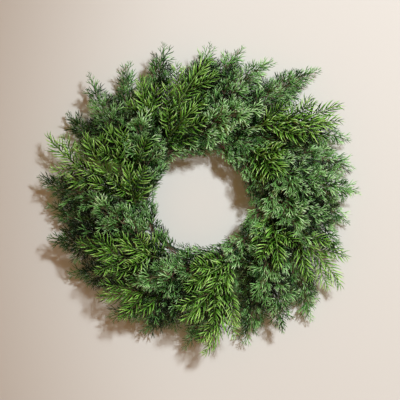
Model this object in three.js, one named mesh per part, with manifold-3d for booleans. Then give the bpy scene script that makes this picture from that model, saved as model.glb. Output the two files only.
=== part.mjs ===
// An evergreen wreath: sprays of cedar and of bright fir, tied clockwise round a welded wire frame.
// Millimetres, +Z up. It hangs against a wall that lies behind it, on the +Y side, and faces -Y.
// The origin is where the hook holds it: under the back outer ring of the frame, at the top.
// Foliage is placed by clock angle (degrees clockwise from the top, seen from the front), by radius
// from the middle of the wreath, and by depth (distance in front of the back rings of the frame).

import * as THREE from 'three';
import { mergeVertices } from 'three/addons/utils/BufferGeometryUtils.js';
import Module from 'manifold-3d';

// Wire frame
const BACK_OUTER_RADIUS = 152;
const BACK_INNER_RADIUS = 108;
const FRONT_OUTER_RADIUS = 148;
const FRONT_INNER_RADIUS = 112;
const FRAME_DEPTH = 28;
const WIRE_HALF_WIDTH = 1.35;
const RING_SEGMENTS = 24;
const BRACE_COUNT = 6;
const BRACE_FIRST_CLOCK = 15;
const BRACE_HALF_WIDTH = 1;

// Ties: the stems of each bunch lie side by side on the front rings, under two turns of wire
const TIE_COUNT = 13;
const TIE_FIRST_CLOCK = 8;
const TIE_STEP = 360 / TIE_COUNT;
const TIE_LENGTH = 16;
const SLOT_OUTER_RADIUS = 149;
const SLOT_INNER_RADIUS = 115;
const SLOT_PITCH = 7;
const TOUCH_GAP = 0.35;
const BINDING_RADIUS = 0.7;
const BINDING_PITCH = 5;
const BINDING_RUN_RADIUS = 130;
const BINDING_TURNS = 2;
const BINDING_TAPER = 1.5;
const BINDING_CORNER_SHIFT = 1 / 6;
const BINDING_START = 0.75;

// Stems
const BUTT_RADIUS = 2.4;
const STEM_TIP_RADIUS = 1.1;
const STEM_TIP_LENGTH = 22;
const BARE_BAND = 20;
const STEM_EASE = 0.3;
const STEM_EASE_RISE = 5;
const ARCH_SWEEP = 0.62;
const ARCH_REACH = 0.5;

// Cedar twigs, in pairs along the stem: the longest are in the middle of it. Angles round a shoot
// are in radians, and leans away from it in degrees.
const TWIG_BAND = 6;
const TWIG_RADIUS = 1.15;
const TWIG_ROOT_RADIUS = 3;
const TWIG_END_RADIUS = 0.75;
const TWIG_TIP_RADIUS = 0.5;
const TWIG_LEAN = 40;
const TWIG_LEAN_SPREAD = 5;
const TWIG_BEND = 0.16;
const LONG_TWIG = 42;
const TWIG_FREE_ROOT = 9;
const FIRST_TWIG_SHARE = 0.72;
const MIDDLE_TWIG_GAIN = 1.1;
const LAST_TWIG_LOSS = 0.12;
const TWIG_LIFTS = [0.1, 0.35];
const TWIG_OFF_SIDE = 0.45;

// Cedar branchlets, three at each ring of a twig
const BRANCHLET_LENGTH = 21;
const BRANCHLET_LEAN = 37;
const BRANCHLET_TIP_LOSS = 0.25;

// Fir needles: one to each side and one under the stem at each band of it, shorter at its tip
const FIR_BAND = 6;
const FIR_NEEDLE_LENGTH = 26;
const FIR_NEEDLE_LEAN = 42;
const FIR_TIP_LEAN_LOSS = 14;
const FIR_TIP_START = 0.75;
const FIR_TIP_LOSS = 0.8;
const FIR_SIDE_LIFT = 0.15;
const FIR_UNDER = 0.65;
const FIR_UNDER_SHARE = 0.85;

// Both kinds of needle
const NEEDLE_ROOT_RADIUS = 2.2;
const NEEDLE_TIP_RADIUS = 0.25;
const NEEDLE_FREE_ROOT = 0.4;
const LENGTH_SPREAD = 0.1;
const LEAST_RISE = 0.2;
const LEAST_AGREEMENT = 0.55;

// Room kept free
const CLEARANCE = 1;
const HOLE_CLEAR_RADIUS = 84;
const WALL_CLEARANCE = 2;
const THICKET_CELL = 14;

// Sprays: clock angle and radius of the tip, clock angle that the stem sweeps through from its tie,
// depth of the arch of the stem, and depth of the tip
const CEDAR_OUTER = [
  [3, 296, 34, 46, 34], [14.5, 303, 38, 28, 15], [26, 301, 46, 50, 38], [41, 338, 33, 32, 16],
  [67, 307, 50, 42, 26], [77, 298, 40, 28, 15], [87, 301, 34, 56, 42], [98, 286, 38, 27, 14],
  [111.6, 289, 46, 44, 28], [137.4, 311, 42, 28, 15], [148, 293, 34, 50, 38], [163, 288, 38, 28, 16],
  [186, 283, 42, 38, 24], [204, 276, 36, 28, 15], [218, 286, 44, 52, 38], [241, 292, 40, 30, 20],
  [256, 303, 30, 54, 42], [268, 296, 40, 27, 13], [277.3, 313, 32, 48, 34], [302.4, 307, 30, 28, 15],
  [317.6, 321, 38, 48, 34], [331, 300, 46, 28, 15], [346, 307, 40, 48, 34],
];
const CEDAR_CROWN = [
  [32, 212, 48, 76, 70], [88, 205, 50, 80, 72], [112, 218, 44, 78, 70], [150, 214, 46, 78, 68],
  [222, 205, 50, 80, 72], [272, 212, 46, 76, 70], [326, 208, 44, 80, 72],
];
const CEDAR_INNER = [
  [12, 99, 50, 54, 40], [53, 88, 48, 44, 28], [91, 96, 50, 56, 44], [128, 100, 48, 46, 30],
  [166, 89, 50, 54, 40], [205, 99, 50, 46, 28], [241, 98, 48, 56, 44], [272, 95, 46, 46, 30],
  [314, 97, 50, 54, 40],
];
const FIR = [
  [2, 266, 46, 88, 76], [357, 180, 44, 90, 84], [333, 258, 26, 72, 62], [298, 253, 40, 78, 66],
  [307, 225, 33, 88, 82], [292, 320, 36, 54, 36], [293, 153, 38, 86, 88], [250, 244, 49, 86, 76],
  [241, 171, 40, 92, 86], [226, 268, 38, 68, 54], [188, 231, 42, 90, 84], [183, 150, 37, 80, 76],
  [178, 292, 33, 68, 52], [130, 190, 40, 90, 84], [121, 312, 32, 54, 36], [59, 285, 40, 88, 76],
  [55, 320, 24, 66, 50], [69, 165, 34, 82, 80],
];

// How far each kind of spray is bare, how long its leafy part may be, and the pitch and length of
// its twigs
const HABIT = {
  cedar_outer: { bare: 30, twigPitch: 35, twigLength: 52 },
  cedar_crown: { bare: 26, twigPitch: 31, twigLength: 40 },
  cedar_inner: { bare: 22, twigPitch: 22, twigLength: 28 },
  fir_spray: { bare: 30, leafy: 120 },
};

const FRONT = new THREE.Vector3(0, -1, 0);
const SECTION_SIDES = 3;
const MERGE_DISTANCE = 1e-4;
const TINY = 1e-9;

const wasm = await Module();
wasm.setup();

// One seeded stream of numbers from 0 to 1 keeps the wreath the same each time it is made
let seed = 419;
function random() {
  seed = (seed * 1664525 + 1013904223) % 4294967296;
  return seed / 4294967296;
}

// A number within a spread of a middle value
function about(middle, spread) {
  return middle + spread * (2 * random() - 1);
}

function clockPoint(clock, radius, depth) {
  const turn = THREE.MathUtils.degToRad(clock);
  return new THREE.Vector3(radius * Math.sin(turn), -depth, radius * Math.cos(turn));
}

function clockwise(clock) {
  const turn = THREE.MathUtils.degToRad(clock);
  return new THREE.Vector3(Math.cos(turn), 0, -Math.sin(turn));
}

// The two directions across a shoot: to its left as seen from the front, and to its front
function acrossShoot(along) {
  const front = FRONT.clone().addScaledVector(along, -FRONT.dot(along)).normalize();
  const left = new THREE.Vector3().crossVectors(front, along);
  return { left, front };
}

// A direction that leans from the shoot to one side, which is an angle from its left to its front
function leaning(along, facing, degrees) {
  const { left, front } = acrossShoot(along);
  const across = left.multiplyScalar(Math.cos(facing)).addScaledVector(front, Math.sin(facing));
  const lean = THREE.MathUtils.degToRad(degrees);
  return along.clone().multiplyScalar(Math.cos(lean)).addScaledVector(across, Math.sin(lean));
}

// Whether an edge of one facet passes through another that it shares no corner with
function edgesPierce(facet, other) {
  return facet.some((start, index) => {
    const end = facet[(index + 1) % 3];
    if (other.includes(start) || other.includes(end)) return false;
    const ray = new THREE.Ray(start, end.clone().sub(start).normalize());
    const hit = ray.intersectTriangle(...other, false, new THREE.Vector3());
    return hit !== null && hit.distanceTo(start) < end.distanceTo(start);
  });
}

// A closed body of triangles that grows: rings of three points joined by bands, with shoots and
// needles drawn out of single facets, so that each is one body with what it grows from
class Growth {
  points = [];
  faces = new Map();
  faceCount = 0;

  addPoint(point) {
    return this.points.push(point.clone()) - 1;
  }

  addFace(a, b, c) {
    this.faces.set(this.faceCount, [a, b, c]);
    this.faceCount += 1;
    return this.faceCount - 1;
  }

  // Three points round the centre, the first of them turned from the left towards the front
  addRing(centre, along, radius, turn) {
    const { left, front } = acrossShoot(along);
    const ring = [];
    for (let corner = 0; corner < SECTION_SIDES; corner += 1) {
      const angle = turn + (corner * 2 * Math.PI) / SECTION_SIDES;
      const point = centre.clone()
        .addScaledVector(left, radius * Math.cos(angle))
        .addScaledVector(front, radius * Math.sin(angle));
      ring.push(this.addPoint(point));
    }
    return ring;
  }

  // Joins two rings, and returns the facet of each side that stands on the first one
  addBand(from, to) {
    const lower = [];
    for (let side = 0; side < from.length; side += 1) {
      const next = (side + 1) % from.length;
      lower.push(this.addFace(from[side], from[next], to[side]));
      this.addFace(from[next], to[next], to[side]);
    }
    return lower;
  }

  // Draws a facet out into a needle
  raise(face, tip) {
    const corners = this.faces.get(face);
    this.faces.delete(face);
    const apex = this.addPoint(tip);
    corners.forEach((corner, side) => this.addFace(corner, corners[(side + 1) % 3], apex));
  }

  // Draws a facet out as far as a new ring, which is turned to face the corners that it grows from
  drawOut(face, centre, heading, radius) {
    const base = this.faces.get(face);
    this.faces.delete(face);
    const middle = this.middleOf(base);
    const { left, front } = acrossShoot(heading);
    const turns = base.map((corner, index) => {
      const offset = this.points[corner].clone().sub(middle);
      const angle = Math.atan2(offset.dot(front), offset.dot(left)) - (index * 2 * Math.PI) / 3;
      return new THREE.Vector2(Math.cos(angle), Math.sin(angle)).multiplyScalar(offset.length());
    });
    const turn = turns.reduce((sum, one) => sum.add(one), new THREE.Vector2()).angle();
    const ring = this.addRing(centre, heading, radius, turn);
    return { ring, lower: this.addBand(base, ring) };
  }

  closeStart(ring) {
    this.addFace(ring[2], ring[1], ring[0]);
  }

  closeEnd(ring) {
    return this.addFace(ring[0], ring[1], ring[2]);
  }

  // How far a point stands above the plane of a facet
  heightAbove(face, point) {
    const [a, b, c] = this.faces.get(face).map((corner) => this.points[corner]);
    const normal = b.clone().sub(a).cross(c.clone().sub(a)).normalize();
    return normal.dot(point.clone().sub(a));
  }

  // The side that a facet looks to, as an angle from the left towards the front of its shoot
  facing(face, along) {
    const [a, b, c] = this.faces.get(face).map((corner) => this.points[corner]);
    const normal = b.clone().sub(a).cross(c.clone().sub(a));
    const { left, front } = acrossShoot(along);
    return Math.atan2(normal.dot(front), normal.dot(left));
  }

  // A shoot keeps to the side that its facet looks to, and its sides cross no other facet
  suits(face, along, facing, tip) {
    const base = this.faces.get(face);
    const aside = Math.cos(facing - this.facing(face, along));
    const rise = this.heightAbove(face, tip) / this.middleOf(base).distanceTo(tip);
    if (aside < LEAST_AGREEMENT || rise < LEAST_RISE) return false;
    const corners = base.map((corner) => this.points[corner]);
    const sides = corners.map((corner, index) => [corner, corners[(index + 1) % 3], tip]);
    const reach = corners[0].distanceTo(tip) + TWIG_BAND;
    for (const [other, ids] of this.faces) {
      const facet = ids.map((corner) => this.points[corner]);
      const near = other !== face && facet.some((point) => point.distanceTo(tip) < reach);
      const crosses = (side) => edgesPierce(side, facet) || edgesPierce(facet, side);
      if (near && sides.some(crosses)) return false;
    }
    return true;
  }

  middleOf(corners) {
    const sum = new THREE.Vector3();
    corners.forEach((corner) => sum.add(this.points[corner]));
    return sum.divideScalar(corners.length);
  }

  geometry() {
    const geometry = new THREE.BufferGeometry();
    const positions = this.points.flatMap((point) => point.toArray());
    geometry.setAttribute('position', new THREE.Float32BufferAttribute(positions, 3));
    geometry.setIndex([...this.faces.values()].flat());
    return geometry;
  }
}

// Where each stem, twig, needle and wire lies, as tapered rods sorted into cubes of space
class Thicket {
  cells = new Map();

  cellsOf(rod) {
    const reach = Math.max(rod.startRadius, rod.endRadius) + CLEARANCE;
    const low = rod.start.clone().min(rod.end).subScalar(reach).divideScalar(THICKET_CELL).floor();
    const high = rod.start.clone().max(rod.end).addScalar(reach).divideScalar(THICKET_CELL).floor();
    const keys = [];
    for (let x = low.x; x <= high.x; x += 1) {
      for (let y = low.y; y <= high.y; y += 1) {
        for (let z = low.z; z <= high.z; z += 1) keys.push(`${x},${y},${z}`);
      }
    }
    return keys;
  }

  add(rod) {
    for (const key of this.cellsOf(rod)) {
      if (!this.cells.has(key)) this.cells.set(key, []);
      this.cells.get(key).push(rod);
    }
  }

  // A rod may touch its own spray only near its root
  isFree(rod) {
    if (-rod.end.y < WALL_CLEARANCE) return false;
    if (Math.hypot(rod.end.x, rod.end.z) < HOLE_CLEAR_RADIUS) return false;
    for (const key of this.cellsOf(rod)) {
      for (const other of this.cells.get(key) ?? []) {
        const near = nearestApproach(rod, other);
        const rooted = rod.owner === other.owner && near.along * near.length < rod.rootLength;
        const room = near.radius + (rod.owner === other.owner ? 0 : CLEARANCE);
        if (!rooted && near.distance < room) return false;
      }
    }
    return true;
  }
}

// The least distance between the middle lines of two rods, and their two radii there
function nearestApproach(rod, other) {
  const first = rod.end.clone().sub(rod.start);
  const second = other.end.clone().sub(other.start);
  const apart = rod.start.clone().sub(other.start);
  const a = first.dot(first);
  const b = first.dot(second);
  const c = second.dot(second);
  const d = first.dot(apart);
  const e = second.dot(apart);
  const clamp = (value) => Math.min(1, Math.max(0, value));
  const parallel = a * c - b * b < TINY;
  let along = parallel ? 0 : clamp((b * e - c * d) / (a * c - b * b));
  const across = clamp((b * along + e) / c);
  along = clamp((b * across - d) / a);
  const here = rod.start.clone().addScaledVector(first, along);
  const there = other.start.clone().addScaledVector(second, across);
  return {
    along,
    length: Math.sqrt(a),
    distance: here.distanceTo(there),
    radius: THREE.MathUtils.lerp(rod.startRadius, rod.endRadius, along)
      + THREE.MathUtils.lerp(other.startRadius, other.endRadius, across),
  };
}

function rodsAlong(points, startRadius, endRadius, owner, rootLength = 0) {
  const share = (index) => THREE.MathUtils.lerp(startRadius, endRadius, index / (points.length - 1));
  return points.slice(1).map((end, index) => ({
    start: points[index],
    end,
    startRadius: share(index),
    endRadius: share(index + 1),
    owner,
    rootLength: index === 0 ? rootLength : 0,
  }));
}

const thicket = new Thicket();

// A solid for cutting and joining, from a closed geometry
function solidOf(geometry) {
  const bare = geometry.clone();
  bare.deleteAttribute('normal');
  bare.deleteAttribute('uv');
  const merged = mergeVertices(bare, MERGE_DISTANCE);
  return new wasm.Manifold(new wasm.Mesh({
    numProp: 3,
    vertProperties: new Float32Array(merged.attributes.position.array),
    triVerts: new Uint32Array(merged.index.array),
  }));
}

function geometryOf(solid) {
  const mesh = solid.getMesh();
  const geometry = new THREE.BufferGeometry();
  geometry.setAttribute('position', new THREE.Float32BufferAttribute([...mesh.vertProperties], 3));
  geometry.setIndex([...mesh.triVerts]);
  return geometry;
}

// The frame: four rings of wire, welded to braces that are bent to a U and open at the back
function ringGeometry(radius, depth) {
  const corners = [[-1, -1], [1, -1], [1, 1], [-1, 1], [-1, -1]];
  const profile = corners.map(([out, back]) => new THREE.Vector2(
    radius + out * WIRE_HALF_WIDTH,
    -depth + back * WIRE_HALF_WIDTH,
  ));
  return new THREE.LatheGeometry(profile, RING_SEGMENTS);
}

// The outline of a brace in radius and depth, as wide as the wire, closed round its bent middle line
function braceGeometry(clock, corners) {
  const half = BRACE_HALF_WIDTH;
  const [innerBack, innerFront, outerFront, outerBack] = corners.map(({ radius }) => radius);
  const outline = new THREE.Shape([
    [innerBack - half, 0], [innerFront - half, FRAME_DEPTH + half],
    [outerFront + half, FRAME_DEPTH + half], [outerBack + half, 0],
    [outerBack - half, 0], [outerFront - half, FRAME_DEPTH - half],
    [innerFront + half, FRAME_DEPTH - half], [innerBack + half, 0],
  ].map(([radius, depth]) => new THREE.Vector2(radius, depth)));
  const brace = new THREE.ExtrudeGeometry(outline, { depth: 2 * half, bevelEnabled: false });
  brace.translate(0, 0, -half);
  const outwards = clockPoint(clock, 1, 0);
  return brace.applyMatrix4(new THREE.Matrix4().makeBasis(outwards, FRONT, clockwise(clock)));
}

function frameGeometry() {
  const corners = [
    { radius: BACK_INNER_RADIUS, depth: 0 },
    { radius: FRONT_INNER_RADIUS, depth: FRAME_DEPTH },
    { radius: FRONT_OUTER_RADIUS, depth: FRAME_DEPTH },
    { radius: BACK_OUTER_RADIUS, depth: 0 },
  ];
  let frame = corners.map(({ radius, depth }) => solidOf(ringGeometry(radius, depth)))
    .reduce((sum, ring) => sum.add(ring));
  for (let brace = 0; brace < BRACE_COUNT; brace += 1) {
    const clock = BRACE_FIRST_CLOCK + (brace * 360) / BRACE_COUNT;
    frame = frame.add(solidOf(braceGeometry(clock, corners)));
    keepWire(corners.map(({ radius, depth }) => clockPoint(clock, radius, depth)));
  }
  corners.forEach(({ radius, depth }) => {
    const steps = Array.from({ length: RING_SEGMENTS + 1 }, (_, step) => step);
    keepWire(steps.map((step) => clockPoint((step * 360) / RING_SEGMENTS, radius, depth)));
  });
  return geometryOf(frame);
}

function keepWire(points) {
  const radius = WIRE_HALF_WIDTH * Math.SQRT2;
  rodsAlong(points, radius, radius, 'wire_frame').forEach((rod) => thicket.add(rod));
}

// Depth at which a stem lies on the front rings, and the loop that the binding wire makes round all
const STEM_REST_DEPTH = FRAME_DEPTH + WIRE_HALF_WIDTH + TOUCH_GAP + BUTT_RADIUS / 2;
const BINDING_FRONT = STEM_REST_DEPTH + BUTT_RADIUS + TOUCH_GAP + BINDING_RADIUS;
const BINDING_OFFSET = WIRE_HALF_WIDTH + TOUCH_GAP + BINDING_RADIUS;

// Binding wire: at each tie two turns round the frame and the stems, then a run along the back
function bindingPoints() {
  const outer = BACK_OUTER_RADIUS + BINDING_OFFSET;
  const inner = BACK_INNER_RADIUS * Math.cos(Math.PI / RING_SEGMENTS) - BINDING_OFFSET;
  const turn = [
    [outer, -BINDING_OFFSET], [outer - BINDING_TAPER, BINDING_FRONT],
    [inner + BINDING_TAPER, BINDING_FRONT], [inner, -BINDING_OFFSET],
  ];
  const points = [];
  for (let tie = 0; tie < TIE_COUNT; tie += 1) {
    const clock = TIE_FIRST_CLOCK + tie * TIE_STEP;
    const place = (radius, depth, shift) => points.push(
      clockPoint(clock, radius, depth).addScaledVector(clockwise(clock), shift),
    );
    place(BINDING_RUN_RADIUS, -BINDING_OFFSET, -BINDING_PITCH);
    for (let round = 0; round < BINDING_TURNS; round += 1) {
      turn.forEach(([radius, depth], corner) => {
        place(radius, depth, BINDING_PITCH * (round + corner * BINDING_CORNER_SHIFT - BINDING_START));
      });
    }
    place(BINDING_RUN_RADIUS, -BINDING_OFFSET, BINDING_PITCH);
    if (tie < TIE_COUNT - 1) {
      points.push(clockPoint(clock + TIE_STEP / 2, BINDING_RUN_RADIUS, -BINDING_OFFSET));
    }
  }
  return points;
}

function bindingGeometry() {
  const points = bindingPoints();
  const wire = new Growth();
  const directionAt = (index) => {
    const before = points[Math.max(0, index - 1)];
    const after = points[Math.min(points.length - 1, index + 1)];
    return after.clone().sub(before).normalize();
  };
  const across = FRONT.clone();
  let last = null;
  let lastAlong = directionAt(0);
  points.forEach((point, index) => {
    const along = directionAt(index);
    across.applyQuaternion(new THREE.Quaternion().setFromUnitVectors(lastAlong, along));
    lastAlong = along;
    const other = new THREE.Vector3().crossVectors(along, across);
    const ring = [0, 1, 2].map((corner) => wire.addPoint(point.clone()
      .addScaledVector(across, BINDING_RADIUS * Math.cos((corner * 2 * Math.PI) / 3))
      .addScaledVector(other, BINDING_RADIUS * Math.sin((corner * 2 * Math.PI) / 3))));
    if (last) wire.addBand(last, ring);
    else wire.closeStart(ring);
    last = ring;
  });
  wire.closeEnd(last);
  rodsAlong(points, BINDING_RADIUS, BINDING_RADIUS, 'binding_wire').forEach((rod) => thicket.add(rod));
  return wire.geometry();
}

// The line that a stem follows: straight through its tie, then a curve out to its tip
class StemRoute {
  constructor(spray) {
    const middle = clockPoint(spray.tieClock, spray.slotRadius, STEM_REST_DEPTH);
    const along = clockwise(spray.tieClock);
    const start = middle.clone().addScaledVector(along, -TIE_LENGTH / 2);
    const leave = middle.clone().addScaledVector(along, TIE_LENGTH / 2);
    const tip = clockPoint(spray.tipClock, spray.tipRadius, spray.tipDepth);
    const reach = leave.distanceTo(tip);
    const sweep = spray.tipClock - spray.tieClock;
    const ease = leave.clone()
      .addScaledVector(along, STEM_EASE * reach)
      .addScaledVector(FRONT, STEM_EASE_RISE);
    const arch = clockPoint(
      spray.tieClock + ARCH_SWEEP * sweep,
      THREE.MathUtils.lerp(spray.slotRadius, spray.tipRadius, ARCH_REACH),
      spray.archDepth,
    );
    this.tie = new THREE.LineCurve3(start, leave);
    this.curve = new THREE.CubicBezierCurve3(leave, ease, arch, tip);
    this.length = TIE_LENGTH + this.curve.getLength();
  }

  share(distance) {
    return Math.min(1, (distance - TIE_LENGTH) / (this.length - TIE_LENGTH));
  }

  pointAt(distance) {
    if (distance <= TIE_LENGTH) return this.tie.getPoint(distance / TIE_LENGTH);
    return this.curve.getPointAt(this.share(distance));
  }

  tangentAt(distance) {
    if (distance <= TIE_LENGTH) return this.tie.getTangent(0);
    return this.curve.getTangentAt(this.share(distance));
  }
}

// Each spray goes to the tie that its sweep reaches back to. Within a tie the stems are laid side by
// side in the order in which they lean outwards, so that none of them crosses another.
function planSprays() {
  const groups = [
    ['cedar_outer', CEDAR_OUTER], ['cedar_crown', CEDAR_CROWN],
    ['cedar_inner', CEDAR_INNER], ['fir_spray', FIR],
  ];
  const sprays = groups.flatMap(([group, rows]) => rows.map(
    ([tipClock, tipRadius, sweep, archDepth, tipDepth], index) => {
      const steps = Math.round((tipClock - sweep - TIE_FIRST_CLOCK) / TIE_STEP);
      const name = `${group}_${String(index + 1).padStart(2, '0')}`;
      const tieClock = TIE_FIRST_CLOCK + steps * TIE_STEP;
      const tie = (steps + TIE_COUNT) % TIE_COUNT;
      return { name, group, tie, tieClock, tipClock, tipRadius, archDepth, tipDepth };
    },
  ));
  for (let tie = 0; tie < TIE_COUNT; tie += 1) {
    const bunch = sprays.filter((spray) => spray.tie === tie);
    const outward = (spray) => {
      const tip = clockPoint(spray.tipClock - spray.tieClock, spray.tipRadius, 0);
      return Math.atan2(tip.z - (SLOT_OUTER_RADIUS + SLOT_INNER_RADIUS) / 2, tip.x);
    };
    bunch.sort((one, other) => outward(other) - outward(one));
    const pitch = Math.min(SLOT_PITCH, (SLOT_OUTER_RADIUS - SLOT_INNER_RADIUS) / (bunch.length - 1));
    bunch.forEach((spray, place) => {
      const inwards = spray.tipRadius < SLOT_INNER_RADIUS;
      spray.slotRadius = inwards ? SLOT_INNER_RADIUS : SLOT_OUTER_RADIUS - place * pitch;
    });
  }
  sprays.forEach((spray) => { spray.route = new StemRoute(spray); });
  return sprays;
}

// Grows the bare or leafy stem of a spray, with a ring at each of the given distances from its butt
function growStem(spray, distances, tipRadius) {
  const { route } = spray;
  const body = new Growth();
  const radiusAt = (distance) => THREE.MathUtils.lerp(BUTT_RADIUS, tipRadius, Math.max(
    0, (distance - TIE_LENGTH) / (route.length - TIE_LENGTH),
  ));
  const bands = [];
  let last = null;
  distances.forEach((distance, index) => {
    const ring = body.addRing(
      route.pointAt(distance), route.tangentAt(distance), radiusAt(distance), Math.PI / 2,
    );
    if (last) bands.push({ start: distances[index - 1], end: distance, lower: body.addBand(last, ring) });
    else body.closeStart(ring);
    last = ring;
  });
  body.raise(body.closeEnd(last), route.pointAt(route.length));
  spray.body = body;
  spray.bands = bands;
  const points = [...distances, route.length].map((distance) => route.pointAt(distance));
  rodsAlong(points, BUTT_RADIUS, tipRadius, spray.name).forEach((rod) => thicket.add(rod));
}

function cedarDistances(spray) {
  const { bare, twigPitch } = HABIT[spray.group];
  const last = spray.route.length - STEM_TIP_LENGTH;
  const nodes = Math.max(1, Math.round((last - bare) / twigPitch));
  const pitch = (last - bare) / nodes;
  const distances = [0, TIE_LENGTH];
  if (bare > 2 * TIE_LENGTH) distances.push((TIE_LENGTH + bare) / 2);
  for (let node = 0; node < nodes; node += 1) {
    distances.push(bare + node * pitch, bare + node * pitch + TWIG_BAND);
  }
  distances.push(last);
  return distances;
}

function firDistances(spray) {
  const { bare, leafy } = HABIT.fir_spray;
  const last = spray.route.length - STEM_TIP_LENGTH / 2;
  const bands = Math.floor(Math.min(leafy, last - bare) / FIR_BAND);
  const bareEnd = last - bands * FIR_BAND;
  const bareSteps = Math.max(1, Math.round((bareEnd - TIE_LENGTH) / BARE_BAND));
  const distances = [0, TIE_LENGTH];
  for (let step = 1; step < bareSteps; step += 1) {
    distances.push(TIE_LENGTH + (step * (bareEnd - TIE_LENGTH)) / bareSteps);
  }
  for (let band = 0; band <= bands; band += 1) distances.push(bareEnd + band * FIR_BAND);
  return distances;
}

// Draws a twig out of a facet of the stem, bent forwards, where it finds room. A try is a turn round
// the stem, in radians, and a share of the length.
const TWIG_TRIES = [
  [0, 1], [0.4, 1], [-0.4, 1], [0.7, 0.9], [-0.7, 0.9], [0, 0.75], [0.5, 0.65], [-0.5, 0.6],
];

function growTwig(spray, band, face, facing, length) {
  const { body, route } = spray;
  const root = body.middleOf(body.faces.get(face));
  const along = route.tangentAt((band.start + band.end) / 2);
  for (const [turn, share] of TWIG_TRIES) {
    const out = leaning(along, facing + turn, TWIG_LEAN + about(0, TWIG_LEAN_SPREAD));
    const reach = length * share;
    const steps = reach > LONG_TWIG ? 3 : 2;
    const pointAt = (part) => root.clone()
      .addScaledVector(out, reach * part * (1 - TWIG_BEND * part))
      .addScaledVector(along, reach * TWIG_BEND * part * part);
    const parts = Array.from({ length: steps }, (_, step) => (step + 0.92) / (steps + 1));
    const points = [root, ...parts.map(pointAt), pointAt(1)];
    const rods = rodsAlong(points, TWIG_ROOT_RADIUS, TWIG_TIP_RADIUS, spray.name, TWIG_FREE_ROOT);
    const suits = body.suits(face, along, facing + turn, points[1]);
    if (suits && rods.every((rod) => thicket.isFree(rod))) {
      rods.forEach((rod) => thicket.add(rod));
      let end = face;
      points.slice(1, -1).forEach((point, step) => {
        const heading = points[step + 2].clone().sub(points[step]).normalize();
        const radius = THREE.MathUtils.lerp(TWIG_RADIUS, TWIG_END_RADIUS, step / steps);
        const { ring, lower } = body.drawOut(end, point, heading, radius);
        end = body.closeEnd(ring);
        spray.twigBands.push({ lower, heading, share: (step + 0.5) / steps });
      });
      body.raise(end, points.at(-1));
      return;
    }
  }
}

function growCedarTwigs(spray) {
  spray.twigBands = [];
  const leafy = spray.bands.filter((band) => band.end - band.start < TWIG_BAND + 0.1);
  leafy.forEach((band, index) => {
    const share = (index + 0.5) / leafy.length;
    const fullness = FIRST_TWIG_SHARE + MIDDLE_TWIG_GAIN * share * (1 - share) - LAST_TWIG_LOSS * share;
    const length = HABIT[spray.group].twigLength * fullness;
    const lift = TWIG_LIFTS[index % 2];
    growTwig(spray, band, band.lower[2], lift, length * about(1, LENGTH_SPREAD));
    growTwig(spray, band, band.lower[0], Math.PI - TWIG_OFF_SIDE + lift, length * about(1, LENGTH_SPREAD));
  });
}

// Draws a facet out into a needle in the first direction that has room. A try is a turn round the
// shoot, in radians, a share of the length, and more or less lean in degrees.
const NEEDLE_TRIES = [
  [0, 1, 0], [0.4, 1, 4], [-0.4, 1, 4], [0.8, 1, 0], [-0.8, 0.9, 0],
  [0, 0.8, -8], [0.5, 0.7, 8], [-0.5, 0.65, 6],
];

function growNeedle(spray, face, along, facing, lean, length) {
  const { body } = spray;
  const root = body.middleOf(body.faces.get(face));
  for (const [turn, share, extraLean] of NEEDLE_TRIES) {
    const out = leaning(along, facing + turn, lean + extraLean);
    const tip = root.clone().addScaledVector(out, length * share);
    const rootLength = NEEDLE_FREE_ROOT * length * share;
    const [rod] = rodsAlong([root, tip], NEEDLE_ROOT_RADIUS, NEEDLE_TIP_RADIUS, spray.name, rootLength);
    if (body.suits(face, along, facing + turn, tip) && thicket.isFree(rod)) {
      thicket.add(rod);
      body.raise(face, tip);
      return;
    }
  }
}

function growCedarBranchlets(spray) {
  spray.twigBands.forEach(({ lower, heading, share }) => {
    lower.forEach((face) => {
      const length = BRANCHLET_LENGTH * about(1, LENGTH_SPREAD) * (1 - BRANCHLET_TIP_LOSS * share);
      growNeedle(spray, face, heading, spray.body.facing(face, heading), BRANCHLET_LEAN, length);
    });
  });
}

function growFirNeedles(spray) {
  const leafy = spray.bands.filter((band) => band.end - band.start < FIR_BAND + 0.1);
  leafy.forEach((band, index) => {
    const along = spray.route.tangentAt(band.end);
    const share = index / leafy.length;
    const length = FIR_NEEDLE_LENGTH * (1 - FIR_TIP_LOSS * Math.max(0, share - FIR_TIP_START));
    const lean = FIR_NEEDLE_LEAN - FIR_TIP_LEAN_LOSS * share;
    const under = index % 2 ? -FIR_UNDER : Math.PI + FIR_UNDER;
    const needle = (face, facing, size) => {
      growNeedle(spray, face, along, facing, lean, length * size * about(1, LENGTH_SPREAD));
    };
    needle(band.lower[2], FIR_SIDE_LIFT, 1);
    needle(band.lower[0], Math.PI - FIR_SIDE_LIFT, 1);
    needle(band.lower[1], under, FIR_UNDER_SHARE);
  });
}

function growSprays() {
  const sprays = planSprays();
  const cedars = sprays.filter((spray) => spray.group !== 'fir_spray');
  const firs = sprays.filter((spray) => spray.group === 'fir_spray');
  cedars.forEach((spray) => growStem(spray, cedarDistances(spray), STEM_TIP_RADIUS));
  firs.forEach((spray) => growStem(spray, firDistances(spray), STEM_TIP_RADIUS));
  cedars.forEach(growCedarTwigs);
  firs.forEach(growFirNeedles);
  cedars.forEach(growCedarBranchlets);
  return sprays;
}

const cedarGreen = new THREE.MeshStandardMaterial({ color: '#3d6b39', roughness: 0.55, metalness: 0 });
const firGreen = new THREE.MeshStandardMaterial({ color: '#5f8f35', roughness: 0.45, metalness: 0 });
const paintedWire = new THREE.MeshStandardMaterial({ color: '#2c4a34', roughness: 0.4, metalness: 0.3 });
const bindingGreen = new THREE.MeshStandardMaterial({ color: '#3c5a3c', roughness: 0.4, metalness: 0.4 });

// The middle of the wreath hangs below the hook by the radius of the ring that the hook is under
const wreath = new THREE.Group();
wreath.position.z = -(BACK_OUTER_RADIUS - WIRE_HALF_WIDTH);

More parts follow.
